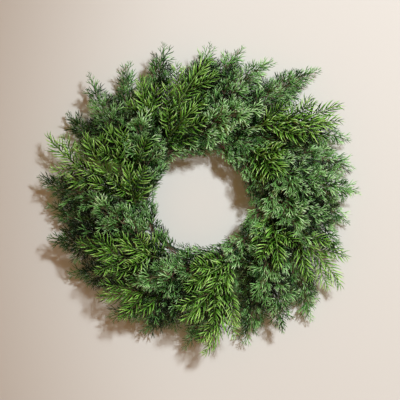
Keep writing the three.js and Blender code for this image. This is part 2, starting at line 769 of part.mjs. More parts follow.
function addMesh(name, geometry, material) {
  const mesh = new THREE.Mesh(geometry, material);
  mesh.name = name;
  wreath.add(mesh);
}

addMesh('wire_frame', frameGeometry(), paintedWire);
addMesh('binding_wire', bindingGeometry(), bindingGreen);
growSprays().forEach((spray) => {
  addMesh(spray.name, spray.body.geometry(), spray.group === 'fir_spray' ? firGreen : cedarGreen);
});

const part = new THREE.Group();
part.add(wreath);

export default part;
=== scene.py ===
# An evergreen wreath: sprays of cedar and of bright fir, tied clockwise round a welded wire frame.
# Metres, +Z up. It hangs against a wall that lies behind it, on the +Y side, and faces -Y.
# The origin is where the hook holds it: under the back outer ring of the frame, at the top.
# Foliage is placed by clock angle (degrees clockwise from the top, seen from the front), by radius
# from the middle of the wreath, and by depth (distance in front of the back rings of the frame).

import math

import bmesh
import bpy
import numpy as np
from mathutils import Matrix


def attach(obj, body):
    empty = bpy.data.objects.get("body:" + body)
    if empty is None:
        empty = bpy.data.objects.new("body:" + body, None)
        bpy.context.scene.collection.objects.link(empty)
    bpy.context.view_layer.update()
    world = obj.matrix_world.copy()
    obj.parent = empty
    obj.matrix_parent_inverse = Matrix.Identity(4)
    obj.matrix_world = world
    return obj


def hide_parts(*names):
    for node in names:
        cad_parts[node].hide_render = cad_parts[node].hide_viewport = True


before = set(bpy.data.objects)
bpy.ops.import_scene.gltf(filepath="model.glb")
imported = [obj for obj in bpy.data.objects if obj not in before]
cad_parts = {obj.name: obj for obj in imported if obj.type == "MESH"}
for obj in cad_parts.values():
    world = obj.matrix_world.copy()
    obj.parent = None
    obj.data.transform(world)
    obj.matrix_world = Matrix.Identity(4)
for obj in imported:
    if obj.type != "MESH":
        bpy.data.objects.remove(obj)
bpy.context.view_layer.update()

MM = 0.001
FRONT = np.array([0.0, -1.0, 0.0])
ORIGIN = (0.0, 0.0, 0.0)
NEAR = 0.1 * MM

# Wire frame
BACK_OUTER_RADIUS = 152 * MM
BACK_INNER_RADIUS = 108 * MM
FRONT_OUTER_RADIUS = 148 * MM
FRONT_INNER_RADIUS = 112 * MM
FRAME_DEPTH = 28 * MM
WIRE_RADIUS = 1.35 * MM
BRACE_RADIUS = 1.1 * MM
BRACE_COUNT = 6
BRACE_FIRST_CLOCK = 15
BRACE_CORNER = 6 * MM
WELD_RADIUS = 2.1 * MM
WELD_GRAIN = 2 * MM
WELD_ROUGHNESS = 0.8 * MM
CORNER_STEPS = 5
SHARP_ANGLE = 50
MIDDLE = np.array([0.0, 0.0, -(BACK_OUTER_RADIUS - WIRE_RADIUS)])

# Ties
TIE_COUNT = 13
TIE_FIRST_CLOCK = 8
TIE_STEP = 360 / TIE_COUNT
TIE_LENGTH = 16 * MM
SLOT_OUTER_RADIUS = 149 * MM
SLOT_INNER_RADIUS = 115 * MM
SLOT_PITCH = 7 * MM
TOUCH_GAP = 0.35 * MM
BINDING_RADIUS = 0.7 * MM
BINDING_RUN_RADIUS = 130 * MM
BINDING_TURNS = 3
BINDING_PITCH = 3.4 * MM
BINDING_TAPER = 1.5 * MM
BINDING_CORNER = 3 * MM

# Stems. At its tie a stem beds a little into the front rings that it is bound to.
BUTT_RADIUS = 2.4 * MM
STEM_TIP_RADIUS = 0.9 * MM
STEM_SIDES = 7
STEM_BANDS = 24
STEM_STEPS = 160
ROD_TAPER = 0.45
STEM_EASE = 0.3
STEM_EASE_RISE = 5 * MM
ARCH_SWEEP = 0.62
ARCH_REACH = 0.5
STEM_REST_DEPTH = FRAME_DEPTH + WIRE_RADIUS + TOUCH_GAP + BUTT_RADIUS / 2
BINDING_FRONT = STEM_REST_DEPTH + BUTT_RADIUS + TOUCH_GAP + BINDING_RADIUS
BINDING_OFFSET = WIRE_RADIUS + TOUCH_GAP + BINDING_RADIUS

# Foliage that would stand further forward than this depth is pressed back, into this much room in
# front of it
PRESSED_DEPTH = 76 * MM
PRESSED_ROOM = 28 * MM

# Room kept free: the hole, and the wall
HOLE_CLEAR_RADIUS = 84.5 * MM
WALL_CLEARANCE = 1 * MM
WALL_Y = 4 * MM

# Sprays: clock angle and radius of the tip, clock angle that the stem sweeps through from its tie,
# depth of the arch of the stem, and depth of the tip. Radii and depths are in millimetres.
CEDAR_OUTER = [
    [3, 296, 34, 46, 34], [14.5, 303, 38, 28, 15], [26, 301, 46, 50, 38], [41, 338, 33, 32, 16],
    [67, 307, 50, 42, 26], [77, 298, 40, 28, 15], [87, 301, 34, 56, 42], [98, 286, 38, 27, 14],
    [111.6, 289, 46, 44, 28], [137.4, 311, 42, 28, 15], [148, 293, 34, 50, 38],
    [163, 288, 38, 28, 16], [186, 283, 42, 38, 24], [204, 276, 36, 28, 15],
    [218, 286, 44, 52, 38], [241, 292, 40, 30, 20], [256, 303, 30, 54, 42],
    [268, 296, 40, 27, 13], [277.3, 313, 32, 48, 34], [302.4, 307, 30, 28, 15],
    [317.6, 321, 38, 48, 34], [331, 300, 46, 28, 15], [346, 307, 40, 48, 34],
]
CEDAR_CROWN = [
    [32, 212, 48, 76, 70], [88, 205, 50, 80, 72], [112, 218, 44, 78, 70], [150, 214, 46, 78, 68],
    [222, 205, 50, 80, 72], [272, 212, 46, 76, 70], [326, 208, 44, 80, 72],
]
CEDAR_INNER = [
    [12, 99, 50, 54, 40], [53, 88, 48, 44, 28], [91, 96, 50, 56, 44], [128, 100, 48, 46, 30],
    [166, 89, 50, 54, 40], [205, 99, 50, 46, 28], [241, 98, 48, 56, 44], [272, 95, 46, 46, 30],
    [314, 97, 50, 54, 40],
]
FIR = [
    [2, 266, 46, 88, 76], [357, 180, 44, 90, 84], [333, 258, 26, 72, 62], [298, 253, 40, 78, 66],
    [307, 225, 33, 88, 82], [292, 320, 36, 54, 36], [293, 153, 38, 86, 88],
    [250, 244, 49, 86, 76], [241, 171, 40, 92, 86], [226, 268, 38, 68, 54],
    [188, 231, 42, 90, 84], [183, 150, 37, 80, 76], [178, 292, 33, 68, 52],
    [130, 190, 40, 90, 84], [121, 312, 32, 54, 36], [59, 285, 40, 88, 76],
    [55, 320, 24, 66, 50], [69, 165, 34, 82, 80],
]

# How far each kind of cedar spray is bare, the pitch and length of its twigs, and the tone that it loses
# as painted shade, as a whole on the side away from the light and towards its tip. Crown and inner
# sprays count as wholly shaded.
HABIT = {
    "cedar_outer": {"bare": 18 * MM, "twig_pitch": 7.5 * MM, "twig_length": 69 * MM,
                    "shade_side_loss": 0.26, "shade_tip_loss": 0.36},
    "cedar_crown": {"bare": 16 * MM, "twig_pitch": 8 * MM, "twig_length": 68 * MM,
                    "shade_side_loss": 0.0, "shade_tip_loss": 0.0},
    "cedar_inner": {"bare": 10 * MM, "twig_pitch": 6 * MM, "twig_length": 52 * MM,
                    "shade_side_loss": 0.0, "shade_tip_loss": 0.3},
}
STEM_TIP_LENGTH = 24 * MM
# Outer cedar is painted lightest at this clock angle, on the side of the light, and painted darkest on
# the other side
LIT_SIDE_CLOCK = 80
CEDAR_TONES = (0.55, 0.85)
CEDAR_TIP_TURN = 0.3

# Twigs of cedar. Leans are in degrees, and turns round a shoot in radians. What is drawn at random
# is a pair of limits, or a spread to both sides.
TWIG_RADIUS = 0.75 * MM
TWIG_TIP_RADIUS = 0.35 * MM
TWIG_SIDES = 4
TWIG_BANDS = 4
TWIG_STEPS = 9
TWIG_LEAN = 33
TWIG_LEAN_SPREAD = 7
TWIG_BEND = 0.16
TWIG_LENGTHS = (0.88, 1.1)
TWIG_TONE_SPREAD = 0.15
LONG_TWIG = 60 * MM
# Twigs get shorter along the stem, by this share evenly and by this share towards its tip
TWIG_EVEN_LOSS = 0.1
TWIG_TIP_LOSS = 0.84
TWIG_TIP_POWER = 2.2
# Sides of the stem that twigs leave from in turn: 0 is left, a quarter turn is the front
TWIG_FACINGS = [0.1, math.pi - 0.1, 0.6, math.pi - 0.6, -0.3, math.pi + 0.3]
TWIG_FACING_SPREAD = 0.2
FRONT_TWIG_SHARE = 0.6
# A twig lies flat to the front, tilted by this much with its side of the stem and by this at random
TWIG_TILT = 0.5
TWIG_TILT_SPREAD = 0.45
TWIG_BARE = 0.1
SIDE_TWIG_PITCH = 13 * MM
SIDE_TWIG_LENGTH = 34 * MM
SIDE_TWIG_LENGTHS = (0.8, 1.15)
SIDE_TWIG_LEAN = 33
SIDE_TWIG_LEAN_SPREAD = 8
SIDE_TWIG_LIFT = 0.4
SIDE_TWIG_TILT = 0.35
SIDE_TWIG_RADIUS = 0.5 * MM
SIDE_TWIG_BARE = 0.2
SIDE_TWIG_SPAN = (0.2, 0.8)
SIDE_TWIG_LOSS = 0.45

# Sprigs: flat forks of scale-clad lobes. A form is the length of its axis and a row for each lobe
# that leaves it: how far along, its side, its lean in degrees and its length, in millimetres.
LOBE_LENGTH = 17 * MM
LOBE_WIDTH = 1.75 * MM
LOBE_THICKNESS = 1.2 * MM
LOBE_SHOULDERS = (0.2, 0.75)
LOBE_CURVE = 1.8 * MM
LOBE_KEPT_WIDTH = 0.6
LOBE_TWIST = 0.35
AXIS_WIDTH = 0.9
AXIS_THICKNESS = 1.1
SPRIG_PITCH = 7 * MM
SPRIG_LEAN = 29
SPRIG_TIP_LEAN_LOSS = 10
SPRIG_LEAN_SPREAD = 7
SPRIG_LIFT = 0.35
SPRIG_TURN = 0.6
SPRIG_TIP_LOSS = 0.5
SPRIG_SIZES = (0.85, 1.12)
SPRIG_TONES = (-0.38, 0.36)
SPRIG_CURLS = (-3 * MM, 1 * MM)
SPRIG_FORMS = [
    (30, [(6, 1, 30, 18), (14, -1, 27, 14)]),
    (26, [(4, -1, 32, 19), (11, 1, 27, 14)]),
    (35, [(5, 1, 32, 16), (12, -1, 29, 18), (20, 1, 25, 13)]),
]

# Fir needles: flat, curved towards the tip of the shoot, in three rows on each side of it
NEEDLE_LENGTH = 29 * MM
NEEDLE_WIDTH = 2.6 * MM
NEEDLE_THICKNESS = 1.1 * MM
NEEDLE_CURVE = 10.5 * MM
NEEDLE_BENDS = (0.3, 0.7)
# Places along a needle where it is narrower, and its share of the width there
NEEDLE_NARROWS = [(0, 0.5), (0.7, 0.88)]
NEEDLE_LEAN = 67
NEEDLE_TIP_LEAN_LOSS = 20
NEEDLE_LEAN_SPREAD = 9
# A row of needles is its lift towards the front, its pitch and where it starts
NEEDLE_ROWS = [(0.05, 7.5 * MM, 0), (0.7, 13 * MM, 5 * MM), (1.2, 26 * MM, 2 * MM)]
NEEDLE_ROW_END = 3 * MM
NEEDLE_PLACE_SPREAD = 1.2 * MM
NEEDLE_LIFT_SPREAD = 0.22
# The flat of a needle faces the front, turned by this much to its side and by this at random
NEEDLE_FRONT = 0.9
NEEDLE_SIDE = 0.2
NEEDLE_TILT = 0.35
# Needles are short where a shoot starts, soon at full length, and shorter again on its last stretch
NEEDLE_FIRST_SIZE = 0.7
NEEDLE_GROWTH = 3
NEEDLE_LAST_STRETCH = 0.25
NEEDLE_LAST_LOSS = 0.4
NEEDLE_SIZES = (0.82, 1.12)
NEEDLE_TONES = (-0.34, 0.3)
# The tuft at the tip of a shoot: the lean of each needle to the left, and of all to the front
TUFT_LEANS = [0.5, -0.45, 0.04]
TUFT_LIFT = 0.1
TUFT_SIZE = 0.6
TUFT_TONES = (-0.3, 0.1)
FIR_BARE = 20 * MM
FIR_LEAFY = 140 * MM
FIR_TONES = (0.66, 0.86)
# A side shoot of fir is how far along the leafy part it leaves, and its side
FIR_SIDE_SHOOTS = [(0.04, 1), (0.14, -1), (0.36, 1), (0.5, -1)]
FIR_SIDE_FACING = 0.1
FIR_SIDE_TURNS = (-0.2, 0.3)
FIR_SIDE_LEAN = 36
FIR_SIDE_LEAN_SPREAD = 5
FIR_SIDE_LENGTH = 76 * MM
FIR_SIDE_LENGTHS = (0.85, 1.15)
FIR_SIDE_LOSS = 0.4
FIR_SIDE_BARE = 0.15
FIR_SIDE_SIZE = 0.85

rng = np.random.default_rng(414)


def linear(code):
    """A colour for a shader, from its sRGB hex value."""
    shares = [int(code[place:place + 2], 16) / 255 for place in (1, 3, 5)]
    return [share / 12.92 if share <= 0.04045 else ((share + 0.055) / 1.055) ** 2.4
            for share in shares] + [1.0]


def add_node(material, kind, settings=None, inputs=None, stops=()):
    """Adds a node with its settings, the stops of its ramp, and what its sockets hold or read."""
    tree = material.node_tree
    node = tree.nodes.new(kind)
    for name, value in (settings or {}).items():
        setattr(node, name, value)
    for index, (place, code) in enumerate(stops):
        elements = node.color_ramp.elements
        element = elements[index] if index < 2 else elements.new(place)
        element.position = place
        element.color = linear(code)
    for name, value in (inputs or {}).items():
        socket = node.inputs[name]
        if isinstance(value, bpy.types.NodeSocket):
            tree.links.new(value, socket)
        else:
            socket.default_value = value
    return node


def start_material(name):
    material = bpy.data.materials.new(name)
    material.use_nodes = True
    material.node_tree.nodes.clear()
    return material


def finish_material(material, shader):
    add_node(material, "ShaderNodeOutputMaterial", inputs={"Surface": shader.outputs[0]})
    return material


# Foliage colours depend on its map alone. Across is from the root to the tip of a lobe, needle or
# shoot, and up is its tone, with the leaves below TONE_TOP and the bark above it.
# The tone holds random differences and painted shade from how deep the foliage lies.
LEAF_MAP = "OFBake"
MAP_EDGE = 0.02
TONE_TOP = 0.8
LEAF_ROUND = 0.012
BARK_LOW = 0.86
BARK_HIGH = 0.98
BARK_FOOT = 0.04
BARK_RISE = 0.88
BARK_ROUND = 0.06
HUB_SHIFT = 0.01


def map_colour(material, along, tones):
    """The place on the leaf map, and the colour there: one along a leaf or shoot, times its tone."""
    leaf_map = add_node(material, "ShaderNodeUVMap", {"uv_map": LEAF_MAP})
    place = add_node(material, "ShaderNodeSeparateXYZ", inputs={"Vector": leaf_map.outputs[0]})
    length_colour = add_node(material, "ShaderNodeValToRGB", inputs={"Fac": place.outputs["X"]},
                             stops=along)
    tone_colour = add_node(material, "ShaderNodeValToRGB", inputs={"Fac": place.outputs["Y"]},
                           stops=tones)
    colour = add_node(material, "ShaderNodeMix", {"data_type": "RGBA", "blend_type": "MULTIPLY"},
                      {0: 1.0, 6: length_colour.outputs[0], 7: tone_colour.outputs[0]})
    return place, colour


def noise_relief(material, size, detail, strength, height):
    """Uneven bumps on the piece's own coordinates, with their size and height in metres."""
    here = add_node(material, "ShaderNodeTexCoord")
    noise = add_node(material, "ShaderNodeTexNoise", inputs={
        "Vector": here.outputs["Object"], "Scale": 1 / size, "Detail": detail})
    return add_node(material, "ShaderNodeBump", inputs={
        "Strength": strength, "Distance": height, "Height": noise.outputs[0]})


def foliage_material(name, along, tones, scales, bump, roughness, sheen):
    """Waxy leaves, with a colour along each one, a tone for each sprig, and bands like scales."""
    material = start_material(name)
    place, colour = map_colour(material, along, tones)
    band = add_node(material, "ShaderNodeMath", {"operation": "MULTIPLY"},
                    {0: place.outputs["X"], 1: scales * 2 * math.pi})
    wave = add_node(material, "ShaderNodeMath", {"operation": "SINE"}, {0: band.outputs[0]})
    relief = add_node(material, "ShaderNodeBump", inputs={
        "Strength": bump, "Distance": 0.3 * MM, "Height": wave.outputs[0]})
    shader = add_node(material, "ShaderNodeBsdfPrincipled", inputs={
        "Base Color": colour.outputs[2], "Roughness": roughness, "Specular Tint": linear(sheen),
        "Normal": relief.outputs[0]})
    return finish_material(material, shader)


def bark_material(name, along, painted_shade_colour, grain, roughness):
    """Bark with a colour along the shoot, painted darker where it lies deep in the foliage as painted
    shade, and a fine rough grain.
    """
    material = start_material(name)
    colour = map_colour(material, along, [(BARK_LOW, painted_shade_colour), (BARK_HIGH, "#ffffff")])[1]
    relief = noise_relief(material, size=grain, detail=3.0, strength=0.5, height=0.4 * MM)
    shader = add_node(material, "ShaderNodeBsdfPrincipled", inputs={
        "Base Color": colour.outputs[2], "Roughness": roughness, "Specular IOR Level": 0.2,
        "Normal": relief.outputs[0]})
    return finish_material(material, shader)


def wire_material(name, low, high, roughness, coat):
    """Paint or enamel on steel wire, a little uneven in thickness and colour."""
    material = start_material(name)
    here = add_node(material, "ShaderNodeTexCoord")
    patches = add_node(material, "ShaderNodeTexNoise", inputs={
        "Vector": here.outputs["Object"], "Scale": 1 / (14 * MM), "Detail": 4.0})
    colour = add_node(material, "ShaderNodeValToRGB", inputs={"Fac": patches.outputs[0]},
                      stops=[(0.35, low), (0.65, high)])
    relief = noise_relief(material, size=2 * MM, detail=2.0, strength=0.25, height=0.2 * MM)
    shader = add_node(material, "ShaderNodeBsdfPrincipled", inputs={
        "Base Color": colour.outputs[0], "Roughness": roughness, "Coat Weight": coat,
        "Normal": relief.outputs[0]})
    return finish_material(material, shader)


# Scale leaves of cedar: waxy, with a soft green gleam, dark at the root of a lobe, partly painted shade
# where the lobes meet, and near white at its tip, partly a painted highlight
cedar_leaves = foliage_material(
    "cedar_scale_leaves",
    [(0.0, "#22461a"), (0.25, "#78ae5c"), (0.6, "#c4f0a4"), (1.0, "#f8ffe6")],
    [(0.0, "#010802"), (0.25, "#143e12"), (0.5, "#a9c99e"), (TONE_TOP, "#ffffff")],
    scales=5, bump=0.5, roughness=0.26, sheen="#d2ecc2")

# Fir needles: flat, bright and slightly glossy, with a yellower green than cedar
fir_needles = foliage_material(
    "fir_flat_needles",
    [(0.0, "#345a1a"), (0.3, "#80b044"), (0.65, "#bae87a"), (1.0, "#f2ffc8")],
    [(0.0, "#010802"), (0.3, "#224a18"), (0.55, "#abcb9a"), (TONE_TOP, "#ffffff")],
    scales=1, bump=0.15, roughness=0.24, sheen="#d8ecac")

# Thin bark of cedar twigs, brown, and green where it is youngest
cedar_bark = bark_material(
    "cedar_brown_bark",
    [(0.0, "#775d4c"), (0.4, "#735a47"), (0.7, "#62603e"), (1.0, "#5c7c44")],
    painted_shade_colour="#08130a", grain=1.5 * MM, roughness=0.75)

# Shoots of fir: brown where they are old, pale green where they carry needles
fir_bark = bark_material(
    "fir_green_shoot",
    [(0.0, "#7a604c"), (0.3, "#6c6a40"), (0.45, "#5f7c38"), (1.0, "#7a9e4a")],
    painted_shade_colour="#0b1a0a", grain=1.5 * MM, roughness=0.6)

# Steel wire dipped in dark green paint
painted_steel = wire_material("green_painted_steel_wire", "#22382a", "#31503a",
                              roughness=0.42, coat=0.2)

# Soft iron wire with thin green enamel
enamelled_wire = wire_material("green_enamelled_wire", "#31573a", "#467350",
                               roughness=0.35, coat=0.4)


def start_piece(name, add, **size):
    """Adds a primitive alone, and puts its place into its mesh."""
    bpy.ops.object.select_all(action="DESELECT")
    add(**size)
    piece = bpy.context.active_object
    piece.name = name
    bpy.ops.object.transform_apply(location=True, rotation=True, scale=True)
    return piece


def select_where(piece, test):
    """Selects the corners of the edited piece whose number and place pass a test."""
    bpy.ops.mesh.select_mode(type="VERT")
    bpy.ops.mesh.select_all(action="DESELECT")
    mesh = bmesh.from_edit_mesh(piece.data)
    mesh.verts.index_update()
    for corner in mesh.verts:
        corner.select_set(bool(test(corner.index, corner.co)))
    mesh.select_flush(True)
    bmesh.update_edit_mesh(piece.data)


def turn(angle, axis):
    """Turns what is selected about the origin by the right-hand rule."""
    bpy.ops.transform.rotate(value=-angle, orient_axis=axis, center_override=ORIGIN)


class Form:
    """A modelled shape as arrays: its corners, triangles, and place on the leaf map."""

    def __init__(self, piece, along, aside):
        mesh = piece.data
        mesh.calc_loop_triangles()
        self.corners = np.array([corner.co for corner in mesh.vertices])
        self.triangles = np.array([triangle.vertices for triangle in mesh.loop_triangles])
        self.along = along(self.corners)
        self.aside = aside(self.corners)
        bpy.data.objects.remove(piece)


def model_lobe(name):
    """A flat spindle of scale leaves that grows up from the origin, with its tip bent aside."""
    low, high = (share * LOBE_LENGTH for share in LOBE_SHOULDERS)
    lobe = start_piece(
        name, bpy.ops.mesh.primitive_cylinder_add, vertices=3, radius=LOBE_WIDTH / math.sqrt(3),
        depth=high - low, end_fill_type="TRIFAN", location=(0, 0, (low + high) / 2))
    bpy.ops.object.mode_set(mode="EDIT")
    for level, reach in ((low, -low), (high, LOBE_LENGTH - high)):
        select_where(lobe, lambda index, place: math.hypot(place.x, place.y) < NEAR
                     and abs(place.z - level) < NEAR)
        bpy.ops.transform.translate(value=(0, 0, reach))
    bpy.ops.mesh.select_all(action="SELECT")
    bpy.ops.transform.resize(value=(1, LOBE_THICKNESS / LOBE_WIDTH, 1), center_override=ORIGIN)
    select_where(lobe, lambda index, place: place.z > high + MM)
    bpy.ops.transform.translate(value=(-LOBE_CURVE, 0, 0))
    return lobe


def model_sprig(name, length, rows):
    """Forks a sprig: a lobe drawn out as its axis, and a copy that leans off it for each row."""
    sprig = model_lobe(name)
    count = len(bmesh.from_edit_mesh(sprig.data).verts)
    for index, (along, side, lean, reach) in enumerate(rows):
        select_where(sprig, lambda number, place: number < count)
        bpy.ops.mesh.duplicate()
        share = reach * MM / LOBE_LENGTH
        width = LOBE_KEPT_WIDTH + (1 - LOBE_KEPT_WIDTH) * share
        bpy.ops.transform.resize(value=(width, width, share), center_override=ORIGIN)
        turn((0 if side > 0 else math.pi) + LOBE_TWIST * (-1) ** index, "Z")
        turn(math.radians(side * lean), "Y")
        bpy.ops.transform.translate(value=(0, 0, along * MM))
    select_where(sprig, lambda number, place: number < count)
    bpy.ops.transform.resize(value=(AXIS_WIDTH, AXIS_THICKNESS, length * MM / LOBE_LENGTH),
                             center_override=ORIGIN)
    bpy.ops.object.mode_set(mode="OBJECT")
    lobes = len(rows) + 1
    first = np.array([corner.co for corner in sprig.data.vertices])[:count]
    share = first[:, 2] / first[:, 2].max()
    across = first[:, 0] / LOBE_WIDTH
    return Form(sprig, lambda corners: np.tile(share, lobes), lambda corners: np.tile(across, lobes))


def model_needle():
    """A flat needle that grows up from the origin, widest in its middle, with its tip bent aside."""
    needle = start_piece(
        "fir_needle", bpy.ops.mesh.primitive_cylinder_add, vertices=4, radius=NEEDLE_WIDTH / 2,
        depth=NEEDLE_LENGTH, location=(0, 0, NEEDLE_LENGTH / 2))
    bpy.ops.object.mode_set(mode="EDIT")
    bpy.ops.transform.resize(value=(1, NEEDLE_THICKNESS / NEEDLE_WIDTH, 1), center_override=ORIGIN)
    for share in NEEDLE_BENDS:
        bpy.ops.mesh.select_all(action="SELECT")
        bpy.ops.mesh.bisect(plane_co=(0, 0, share * NEEDLE_LENGTH), plane_no=(0, 0, 1))
    select_where(needle, lambda index, place: place.z > NEEDLE_LENGTH - MM)
    bpy.ops.mesh.merge(type="CENTER")
    for height, width in NEEDLE_NARROWS:
        level = height * NEEDLE_LENGTH
        select_where(needle, lambda index, place: abs(place.z - level) < MM)
        bpy.ops.transform.resize(value=(width, width, 1), center_override=(0, 0, level))
    for height in (*NEEDLE_BENDS, 1):
        level = height * NEEDLE_LENGTH
        select_where(needle, lambda index, place: abs(place.z - level) < MM)
        bpy.ops.transform.translate(value=(-NEEDLE_CURVE * height ** 2, 0, 0))
    bpy.ops.object.mode_set(mode="OBJECT")
    return Form(needle, lambda corners: corners[:, 2] / NEEDLE_LENGTH,
                lambda corners: (corners[:, 0] + NEEDLE_CURVE * (corners[:, 2] / NEEDLE_LENGTH) ** 2)
                / NEEDLE_WIDTH)


def model_rod(name, sides, bands):
    """A rod of radius 1 and length 1 up from the origin, in bands that let it follow a line."""
    rod = start_piece(name, bpy.ops.mesh.primitive_cylinder_add, vertices=sides, radius=1, depth=1,
                      end_fill_type="TRIFAN", location=(0, 0, 0.5))
    bpy.ops.object.mode_set(mode="EDIT")
    for band in range(1, bands):
        bpy.ops.mesh.select_all(action="SELECT")
        bpy.ops.mesh.bisect(plane_co=(0, 0, band / bands), plane_no=(0, 0, 1))
    bpy.ops.object.mode_set(mode="OBJECT")
    return Form(rod, lambda corners: corners[:, 2],
                lambda corners: np.arctan2(corners[:, 1], corners[:, 0]) / (2 * math.pi))


sprig_forms = [model_sprig(f"cedar_sprig_{index}", length, rows)
               for index, (length, rows) in enumerate(SPRIG_FORMS)]
needle_form = model_needle()
stem_rod = model_rod("stem_rod", STEM_SIDES, STEM_BANDS)
twig_rod = model_rod("twig_rod", TWIG_SIDES, TWIG_BANDS)


def unit(vectors):
    return vectors / np.linalg.norm(vectors, axis=-1, keepdims=True)


def dot(one, other):
    return (one * other).sum(axis=-1, keepdims=True)


def clock_point(clock, radius, depth):
    angle = math.radians(clock)
    return np.array([radius * math.sin(angle), -depth, radius * math.cos(angle)])


def clockwise(clock):
    """The direction in which the sprays swirl, at a clock angle."""
    angle = math.radians(clock)
    return np.array([math.cos(angle), 0.0, -math.sin(angle)])


class Route:
    """A line of points that is measured by the distance along it."""

    def __init__(self, points):
        self.points = np.asarray(points)
        steps = np.linalg.norm(np.diff(self.points, axis=0), axis=1)
        self.marks = np.concatenate([[0.0], np.cumsum(steps)])
        self.length = self.marks[-1]

    def at(self, distance):
        return np.stack([np.interp(distance, self.marks, self.points[:, axis])
                         for axis in range(3)], axis=-1)

    def along(self, distance):
        distance = np.asarray(distance)
        return unit(self.at(distance + MM) - self.at(distance - MM))


def across_shoot(along):
    """The two directions across a shoot: to its left as seen from the front, and to its front."""
    front = unit(FRONT - dot(FRONT, along) * along)
    return np.cross(front, along), front


def leaning(along, facing, degrees):
    """A direction off a shoot, with its turn round the shoot from the left over the front."""
    left, front = across_shoot(along)
    across = left * math.cos(facing) + front * math.sin(facing)
    lean = math.radians(degrees)
    return along * math.cos(lean) + across * math.sin(lean)


def stem_route(spray):
    """Straight through the tie, then a curve out to the tip."""
    middle = clock_point(spray["tie_clock"], spray["slot"], STEM_REST_DEPTH)
    along = clockwise(spray["tie_clock"])
    start = middle - along * TIE_LENGTH / 2
    leave = middle + along * TIE_LENGTH / 2
    tip = clock_point(spray["clock"], spray["radius"], spray["depth"])
    reach = np.linalg.norm(leave - tip)
    ease = leave + along * STEM_EASE * reach + FRONT * STEM_EASE_RISE
    sweep = spray["clock"] - spray["tie_clock"]
    arch_radius = spray["slot"] + (spray["radius"] - spray["slot"]) * ARCH_REACH
    arch = clock_point(spray["tie_clock"] + ARCH_SWEEP * sweep, arch_radius, spray["arch_depth"])
    share = np.linspace(0, 1, STEM_STEPS)[:, None]
    curve = ((1 - share) ** 3 * leave + 3 * (1 - share) ** 2 * share * ease
             + 3 * (1 - share) * share ** 2 * arch + share ** 3 * tip)
    return Route(np.vstack([start, curve]))


def plan_sprays():
    """Gives each spray its tie, its place side by side with others there, and its route."""
    groups = {"cedar_outer": CEDAR_OUTER, "cedar_crown": CEDAR_CROWN,
              "cedar_inner": CEDAR_INNER, "fir_spray": FIR}
    sprays = []
    for group, rows in groups.items():
        for index, (clock, radius, sweep, arch_depth, depth) in enumerate(rows):
            steps = round((clock - sweep - TIE_FIRST_CLOCK) / TIE_STEP)
            sprays.append({
                "node": f"{group}_{index + 1:02d}", "group": group, "clock": clock,
                "radius": radius * MM, "depth": depth * MM, "arch_depth": arch_depth * MM,
                "tie": steps % TIE_COUNT, "tie_clock": TIE_FIRST_CLOCK + steps * TIE_STEP})

    def outward(spray):
        tip = clock_point(spray["clock"] - spray["tie_clock"], spray["radius"], 0)
        return math.atan2(tip[2] - (SLOT_OUTER_RADIUS + SLOT_INNER_RADIUS) / 2, tip[0])

    for tie in range(TIE_COUNT):
        bunch = [spray for spray in sprays if spray["tie"] == tie]
        bunch.sort(key=outward, reverse=True)
        gaps = max(1, len(bunch) - 1)
        pitch = min(SLOT_PITCH, (SLOT_OUTER_RADIUS - SLOT_INNER_RADIUS) / gaps)
        for place, spray in enumerate(bunch):
            inwards = spray["radius"] < SLOT_INNER_RADIUS
            spray["slot"] = SLOT_INNER_RADIUS if inwards else SLOT_OUTER_RADIUS - place * pitch
    for spray in sprays:
        spray["route"] = stem_route(spray)
    return sprays


def lay_rod(rod, route, start, end, first_radius, last_radius):
    """Copies a rod along a stretch of a route, tapered. The hubs of its ends lie apart on the map."""
    share = rod.corners[:, 2:]
    distance = start + (end - start) * share[:, 0]
    left, front = across_shoot(route.along(distance))
    radius = first_radius + (last_radius - first_radius) * share ** ROD_TAPER
    corners = route.at(distance) + radius * (rod.corners[:, :1] * front + rod.corners[:, 1:2] * left)
    hub = np.hypot(rod.corners[:, 0], rod.corners[:, 1]) < 0.5
    shift = np.where(hub, np.where(rod.along < 0.5, -HUB_SHIFT, HUB_SHIFT), 0)
    map_u = MAP_EDGE + (1 - 2 * MAP_EDGE) * rod.along + shift
    return corners, rod.triangles, np.stack([map_u, rod.aside], axis=-1)


def shade_rod(rod, canopy):
    """Paints shade on a laid rod: the tone on its map, by how deep each corner lies."""
    corners, triangles, bark_map = rod
    tones = canopy.tones(corners, np.ones(len(corners)))
    height = BARK_FOOT + BARK_RISE * tones + BARK_ROUND * bark_map[:, 1]
    map_v = BARK_LOW + (BARK_HIGH - BARK_LOW) * height
    return corners, triangles, np.stack([bark_map[:, 0], map_v], axis=-1)


def lay_copies(form, origins, along, facing, scale, tones, curl=0.0):
    """Copies a form to many places. Copies that reach the wall or the hole are left out."""
    along = unit(along)
    facing = unit(facing - dot(facing, along) * along)
    side = np.cross(facing, along)
    local = form.corners[None] * scale[:, None, None]
    bent = local[..., 1:2] + (curl * form.along ** 2)[None, :, None] * scale[:, None, None]
    corners = (origins[:, None] + local[..., :1] * side[:, None] + bent * facing[:, None]
               + local[..., 2:] * along[:, None])
    radius = np.hypot(corners[..., 0], corners[..., 2])
    clear = (radius.min(axis=1) > HOLE_CLEAR_RADIUS) & (corners[..., 1].max(axis=1) < -WALL_CLEARANCE)
    corners, tones = corners[clear], tones[clear]
    count = len(corners)
    starts = np.arange(count)[:, None, None] * len(form.corners)
    triangles = (form.triangles[None] + starts).reshape(-1, 3)
    map_u = np.broadcast_to(MAP_EDGE + (1 - 2 * MAP_EDGE) * form.along, (count, len(form.corners)))
    map_v = MAP_EDGE + (TONE_TOP - 2 * MAP_EDGE) * tones[:, None] + LEAF_ROUND * form.aside[None]
    leaf_map = np.stack([map_u, map_v], axis=-1).reshape(-1, 2)
    return corners.reshape(-1, 3), triangles, leaf_map


